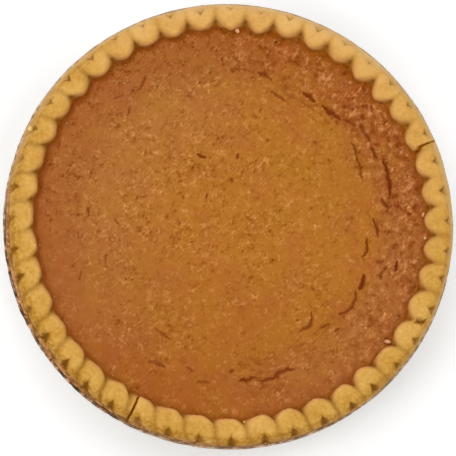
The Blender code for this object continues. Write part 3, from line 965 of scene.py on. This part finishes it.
def crumbs_piece():
    """Crumbs of pastry, one lump for each, about the rim and the custard's edge."""
    draw = random.Random(CRUMB_SEED)
    copies = []
    for angle, radius, height, half, longer, turned, golden in [*BITS, *fallen_crumbs(draw)]:
        deselect()
        turn = math.radians(angle)
        place = Vector((radius * MM * math.cos(turn), radius * MM * math.sin(turn), height * MM))
        size = half * MM
        bpy.ops.mesh.primitive_ico_sphere_add(subdivisions=2, radius=size, location=place)
        crumb = bpy.context.object
        wide, deep, tall = [draw.uniform(0.8, 1.15) for _ in range(3)]
        for v in crumb.data.vertices:
            lumpy = v.co * (1 + 0.35 * noise.noise(v.co / (0.6 * size) + place * 900))
            stretched = Vector((lumpy.x * wide * longer, lumpy.y * deep, lumpy.z * tall * 0.8))
            v.co = Matrix.Rotation(math.radians(turned), 3, "Z") @ stretched
        store(crumb, "golden", np.full(len(crumb.data.vertices), golden))
        copies.append(crumb)
    deselect()
    for crumb in copies:
        crumb.select_set(True)
    bpy.context.view_layer.objects.active = copies[0]
    bpy.ops.object.join()
    bpy.ops.object.transform_apply(location=True, rotation=True, scale=True)
    crumbs = bpy.context.object
    crumbs.name = crumbs.data.name = "pastry_crumbs"
    face_out(crumbs)
    return crumbs


# --- Materials ---


def srgb(r, g, b):
    """A colour as light makes it, from its 0 to 255 screen values."""
    def linear(c):
        c /= 255
        return c / 12.92 if c <= 0.04045 else ((c + 0.055) / 1.055) ** 2.4
    return (linear(r), linear(g), linear(b), 1.0)


class Finish:
    """A material being made: its nodes, and short ways to add and join them."""

    def __init__(self, name, specular):
        self.made = bpy.data.materials.new(name)
        self.made.use_nodes = True
        self.tree = self.made.node_tree
        self.shader = self.tree.nodes["Principled BSDF"]
        self.shader.inputs["Specular IOR Level"].default_value = specular
        self.place = self.node("TexCoord").outputs["Object"]

    def node(self, kind, **settings):
        added = self.tree.nodes.new("ShaderNode" + kind)
        for name, value in settings.items():
            setattr(added, name, value)
        return added

    def feed(self, socket, value):
        """Sets a socket to a plain value, or joins it to another node's output."""
        if isinstance(value, (int, float, tuple)):
            socket.default_value = value
        else:
            self.tree.links.new(value, socket)

    def grain(self, size, detail, place=None):
        """Noise from 0 to 1 with lumps of about the given size."""
        lumps = self.node("TexNoise")
        self.feed(lumps.inputs["Scale"], 0.5 / size)
        self.feed(lumps.inputs["Detail"], detail)
        self.feed(lumps.inputs["Vector"], place or self.place)
        return lumps.outputs["Fac"]

    def strokes(self, size, detail, longer, turned):
        """Noise drawn out along a direction given in degrees from +X."""
        place = self.node("Mapping", vector_type="TEXTURE")
        self.feed(place.inputs["Rotation"], (0, 0, math.radians(turned)))
        self.feed(place.inputs["Scale"], (longer, 1, 1))
        self.feed(place.inputs["Vector"], self.place)
        return self.grain(size, detail, place.outputs[0])

    def from_axis(self):
        """Distance from the pie's axis."""
        flat = self.node("Mapping")
        self.feed(flat.inputs["Scale"], (1, 1, 0))
        self.feed(flat.inputs["Vector"], self.place)
        apart = self.node("VectorMath", operation="LENGTH")
        self.feed(apart.inputs[0], flat.outputs[0])
        return apart.outputs["Value"]

    def kept(self, name):
        """A number stored on the piece's points."""
        return self.node("Attribute", attribute_name=name).outputs["Fac"]

    def worked(self, kind, a, b):
        node = self.node("Math", operation=kind)
        self.feed(node.inputs[0], a)
        self.feed(node.inputs[1], b)
        return node.outputs[0]

    def plus(self, a, b):
        return self.worked("ADD", a, b)

    def minus(self, a, b):
        return self.worked("SUBTRACT", a, b)

    def times(self, a, b):
        return self.worked("MULTIPLY", a, b)

    def spread(self, source, low, high, to_low=0.0, to_high=1.0):
        """A number that goes from one value to another while its source goes from low to high."""
        node = self.node("MapRange")
        for name, value in zip(("From Min", "From Max", "To Min", "To Max"), (low, high, to_low, to_high)):
            self.feed(node.inputs[name], value)
        self.feed(node.inputs["Value"], source)
        return node.outputs["Result"]

    def sparse(self, source, reach, power):
        """(raised, sunk) flecks, few and distinct, where noise strays from its middle by up to a reach."""
        return [self.worked("POWER", self.spread(source, 0.5, 0.5 + far), power) for far in (reach, -reach)]

    def shades(self, source, stops):
        """Colours along a scale: stops are (place, colour)."""
        ramp = self.node("ValToRGB")
        ramp.color_ramp.elements[0].position, ramp.color_ramp.elements[0].color = stops[0]
        ramp.color_ramp.elements[1].position, ramp.color_ramp.elements[1].color = stops[-1]
        for place, colour in stops[1:-1]:
            ramp.color_ramp.elements.new(place).color = colour
        self.feed(ramp.inputs["Fac"], source)
        return ramp.outputs["Color"]

    def mixed(self, amount, under, over):
        """One colour laid on another by an amount."""
        node = self.node("Mix", data_type="RGBA")
        factor, a, b = node.inputs[0], node.inputs[6], node.inputs[7]
        for socket, value in ((factor, amount), (a, under), (b, over)):
            self.feed(socket, value)
        return node.outputs[2]

    def where(self, trait, strength, under, over):
        """One colour laid on another where the piece keeps a trait, at a strength."""
        return self.mixed(self.times(self.kept(trait), strength), under, over)

    def relief(self, layers):
        """Bumps laid on each other: layers are (height from 0 to 1, metres high)."""
        normal = None
        for height, tall in layers:
            bump = self.node("Bump")
            self.feed(bump.inputs["Strength"], 1.0)
            self.feed(bump.inputs["Distance"], tall)
            self.feed(bump.inputs["Height"], height)
            if normal is not None:
                self.feed(bump.inputs["Normal"], normal)
            normal = bump.outputs["Normal"]
        self.feed(self.shader.inputs["Normal"], normal)

    def surface(self, colour, roughness):
        self.feed(self.shader.inputs["Base Color"], colour)
        self.feed(self.shader.inputs["Roughness"], roughness)


def pastry_finish():
    """Baked shortcrust: matt, golden and sandy, with painted light and painted shade over its ridge and lip.
    """
    f = Finish("baked_pastry", specular=0.05)
    patches = f.grain(6 * MM, 3)
    sand = f.grain(0.9 * MM, 3)
    tone = f.plus(f.times(patches, 0.55), f.times(sand, 0.45))
    body = f.shades(tone, [(0.30, srgb(192, 135, 50)), (0.47, srgb(211, 159, 72)),
                           (0.60, srgb(222, 172, 88)), (0.75, srgb(232, 190, 112))])
    # Painted light on the ridge's inner side and far side.
    painted_light = f.where("painted_light", 0.30, body, srgb(244, 184, 112))
    # Painted shade, mottled with the sand grain, on the outer side that faces away from the light.
    crisp = f.spread(sand, 0.35, 0.62, 0.85, 0.2)
    outer_painted_shade = f.where("outer_painted_shade", crisp, painted_light, srgb(176, 120, 28))
    # Painted light on the lip.
    lip = f.where("lip", 0.55, outer_painted_shade, srgb(214, 184, 126))
    # Painted light in patches on the far side's outer slopes.
    light_patches = f.spread(patches, 0.4, 0.6, 0.4, 0.75)
    outer_painted_light = f.where("outer_painted_light", light_patches, lip, srgb(240, 198, 138))
    # Painted shade, mottled brown, on the lip's near side.
    lip_shade_colours = f.shades(f.grain(2.0 * MM, 2), [(0.42, srgb(126, 78, 34)), (0.60, srgb(206, 150, 100))])
    lip_painted_shade = f.where("lip_painted_shade", 0.75, outer_painted_light, lip_shade_colours)
    # Painted shade in the ridge's valleys, pits and splits, lighter on the far side, which faces the light.
    fold = f.mixed(f.kept("outer_painted_light"), srgb(142, 90, 0), srgb(196, 138, 0))
    hollow_shaded = f.where("hollow_painted_shade", 0.95, lip_painted_shade, fold)
    # Darker at the foot of the inner wall.
    darker_at_foot = f.mixed(f.kept("darker_foot"), hollow_shaded, srgb(182, 117, 25))
    torn = f.mixed(f.kept("torn"), darker_at_foot, srgb(202, 126, 0))
    f.surface(torn, f.spread(sand, 0.3, 0.7, 0.72, 0.58))
    f.relief([(f.grain(2.2 * MM, 3), 0.25 * MM), (sand, 0.16 * MM)])
    return f.made


def custard_finish():
    """Baked pumpkin custard: satin skin, golden in the middle, redder and browner to the edge."""
    f = Finish("pumpkin_custard", specular=0.04)
    wave = f.spread(f.grain(16 * MM, 2), 0.3, 0.7, -7 * MM, 7 * MM)
    out = f.spread(f.plus(f.from_axis(), wave), 40 * MM, 112 * MM)
    body = f.shades(out, [(0.0, srgb(182, 113, 39)), (0.45, srgb(179, 110, 38)),
                          (0.72, srgb(171, 100, 35)), (1.0, srgb(163, 90, 30))])
    broad = f.grain(10 * MM, 3)
    golden = f.mixed(f.spread(broad, 0.5, 0.3, 0, 0.5), body, srgb(176, 116, 28))
    ruddy = f.mixed(f.spread(broad, 0.5, 0.7, 0, 0.4), golden, srgb(164, 88, 44))
    # Painted sheen, a pale pinkish haze.
    painted_sheen = f.where("painted_sheen", 0.22, ruddy, srgb(180, 118, 80))
    # The outer ring's own richer colour, and painted shade on the near side.
    deeper_and_shaded = f.where("deeper_and_shaded", 0.40, painted_sheen, srgb(158, 83, 30))

    # Its grain has pale flecks where it rises and dark ones where it sinks, coarser in some places: partly
    # its own speckle, partly painted light on the rises and painted shade in the dips.
    grit = f.strokes(0.6 * MM, 3, longer=1.5, turned=50)
    lumps = f.grain(1.8 * MM, 3)
    speck = f.plus(f.plus(f.times(grit, 0.48), f.times(lumps, 0.37)), f.times(f.grain(4.5 * MM, 2), 0.15))
    in_patches = f.times(f.spread(f.grain(7 * MM, 2), 0.36, 0.64, 0.5, 1.25),
                         f.spread(f.grain(2.0 * MM, 1), 0.32, 0.68, 0.15, 1.75))
    coarse = f.times(f.kept("coarse"), in_patches)
    raised, sunk = f.sparse(speck, 0.24, 1.2)
    pale_amount = f.times(coarse, f.times(raised, f.times(f.kept("flecked"), 0.82)))
    pale = f.mixed(pale_amount, deeper_and_shaded, srgb(240, 167, 98))
    flecked = f.mixed(f.times(coarse, f.times(sunk, 1.2)), pale, srgb(140, 62, 0))

    # Painted highlight on the wrinkled ring's raised strokes, and painted shade in its dips.
    highlight_strokes = f.spread(f.strokes(1.4 * MM, 2, longer=1.8, turned=62), 0.56, 0.70, 0, 0.6)
    sheen = f.where("wrinkled", highlight_strokes, flecked, srgb(226, 154, 98))
    pitted = f.where("wrinkled", f.spread(lumps, 0.47, 0.30, 0, 0.8), sheen, srgb(128, 52, 0))
    # Painted shade with browning inside the cracks and furrows.
    cracked = f.mixed(f.kept("crack"), pitted, srgb(117, 43, 0))
    # Painted shadow along the pastry, darkest on the shaded side, where the flecks are fewer.
    edge_shade = f.mixed(f.spread(f.kept("flecked"), 0.5, 1.0), srgb(150, 74, 0), srgb(162, 89, 0))
    f.surface(f.where("edge", 0.88, cracked, edge_shade), f.spread(lumps, 0.35, 0.65, 0.38, 0.52))
    blisters = f.times(f.minus(lumps, 0.5), coarse)
    grains = f.times(f.minus(grit, 0.5), coarse)
    f.relief([(blisters, 0.9 * MM), (grains, 0.5 * MM)])
    return f.made


def foil_finish():
    """Thin aluminium, dulled by the oven, with fat and flour along its rim, and burned-on spots, painted
    shadow and painted reflection on its near side.
    """
    f = Finish("rolled_aluminium_foil", specular=0.3)
    smudge = f.grain(9 * MM, 3)
    spots = f.grain(1.8 * MM, 3)
    clean = f.shades(smudge, [(0.35, srgb(206, 202, 190)), (0.6, srgb(226, 222, 212))])
    buttery = f.shades(spots, [(0.38, srgb(160, 120, 78)), (0.52, srgb(194, 156, 114)),
                               (0.66, srgb(224, 198, 168))])
    metal = f.where("rim", 0.85, clean, buttery)
    # Painted shadow, painted reflection of the crust, and burned-on spots on the rim's near side.
    rim_shade_colours = f.shades(spots, [(0.44, srgb(52, 30, 16)), (0.52, srgb(112, 72, 42)),
                             (0.60, srgb(176, 128, 94)), (0.72, srgb(218, 180, 152))])
    baked = f.where("baked", f.spread(f.grain(5 * MM, 2), 0.34, 0.52, 0.6, 1.0), metal, rim_shade_colours)
    f.surface(baked, f.spread(smudge, 0.35, 0.65, 0.42, 0.28))
    f.feed(f.shader.inputs["Metallic"], f.spread(f.kept("rim"), 0.0, 1.0, 0.95, 0.25))
    f.relief([(f.grain(3.0 * MM, 2), 0.3 * MM), (spots, 0.12 * MM)])
    return f.made


def crumb_finish():
    """Dry crumbs, pink where they are raw flour and fat, golden where they are baked."""
    f = Finish("dry_pastry_crumb", specular=0.1)
    pink = f.shades(f.grain(0.9 * MM, 2), [(0.35, srgb(224, 142, 88)), (0.65, srgb(248, 192, 138))])
    golden = f.mixed(f.kept("golden"), pink, srgb(250, 220, 140))
    f.surface(golden, f.spread(f.grain(0.5 * MM, 1), 0.3, 0.7, 0.8, 0.65))
    return f.made


def dress(piece, finish, slot, *stands_for):
    piece.data.materials.clear()
    piece.data.materials.append(finish)
    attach(piece, "root")
    if stands_for:
        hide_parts(*stands_for)


# --- Stage ---

CAMERA_FROM = (252.0, 80.9)  # degrees round from +X and above the horizon
CAMERA_AWAY = 0.8
CAMERA_AT = Vector((-1.1 * MM, -3.4 * MM, 31.4 * MM))
FIELD = 255.6 * MM  # width of the view at the rim
SENSOR = 36  # in millimetres
LAMPS_AT = Vector((0, 0, 30 * MM))
# Square lamps: (name, degrees round, degrees up, metres away, metres wide, watts)
LAMPS = (
    ("key", 118, 62, 1.5, 1.5, 11.0),
    ("fill", 20, 42, 1.6, 0.8, 5.0),
    ("fill", 200, 42, 1.6, 0.8, 6.0),
    ("fill", 290, 42, 1.6, 0.8, 5.5),
)
SKY = (1.0, 0.98, 0.96, 1)
SKY_STRENGTH = 0.26
FLOOR_WIDTH = 6
FLOOR_WHITE = (0.97, 0.97, 0.97, 1)
FLOOR_GLOW = 0.16


def direction(round_degrees, up_degrees):
    a, e = math.radians(round_degrees), math.radians(up_degrees)
    return Vector((math.cos(e) * math.cos(a), math.cos(e) * math.sin(a), math.sin(e)))


def looking(place, at, up):
    """World matrix of a thing at a place that looks at a point, with its top towards up."""
    back = (place - at).normalized()
    right = up.cross(back).normalized()
    turned = Matrix((right, back.cross(right), back)).transposed().to_4x4()
    return Matrix.Translation(place) @ turned


def set_camera():
    lens = bpy.data.cameras.new("camera")
    lens.sensor_width = SENSOR
    lens.lens = SENSOR * CAMERA_AWAY / FIELD
    lens.clip_start = 0.05
    camera = bpy.data.objects.new("camera", lens)
    bpy.context.scene.collection.objects.link(camera)
    place = CAMERA_AT + CAMERA_AWAY * direction(*CAMERA_FROM)
    camera.matrix_world = looking(place, CAMERA_AT, Vector((0, 1, 0)))
    bpy.context.scene.camera = camera


def soft_box(name, round_degrees, up_degrees, away, side, watts):
    light = bpy.data.lights.new(name, "AREA")
    light.shape = "SQUARE"
    light.size = side
    light.energy = watts
    lamp = bpy.data.objects.new(name, light)
    bpy.context.scene.collection.objects.link(lamp)
    lamp.matrix_world = looking(direction(round_degrees, up_degrees) * away, LAMPS_AT, Vector((0, 0, 1)))


def floor_paint():
    paint = bpy.data.materials.new("pale_floor")
    paint.use_nodes = True
    shader = paint.node_tree.nodes["Principled BSDF"]
    shader.inputs["Base Color"].default_value = FLOOR_WHITE
    shader.inputs["Roughness"].default_value = 0.9
    shader.inputs["Emission Color"].default_value = (1, 1, 1, 1)
    shader.inputs["Emission Strength"].default_value = FLOOR_GLOW
    return paint


def set_stage():
    world = bpy.data.worlds.new("studio")
    bpy.context.scene.world = world
    world.use_nodes = True
    sky = world.node_tree.nodes["Background"]
    sky.inputs["Color"].default_value = SKY
    sky.inputs["Strength"].default_value = SKY_STRENGTH
    for lamp in LAMPS:
        soft_box(*lamp)
    deselect()
    bpy.ops.mesh.primitive_plane_add(size=FLOOR_WIDTH)
    floor = bpy.context.object
    floor.name = "floor"
    floor.data.materials.append(floor_paint())
    bpy.context.scene.view_settings.view_transform = "Standard"


dress(foil_pan_piece(), foil_finish(), "foil", "foil_pan")
dress(pastry_case(), pastry_finish(), "pastry", "crust")
dress(custard_piece(), custard_finish(), "custard", "filling")
dress(crumbs_piece(), crumb_finish(), "pastry")
set_camera()
set_stage()
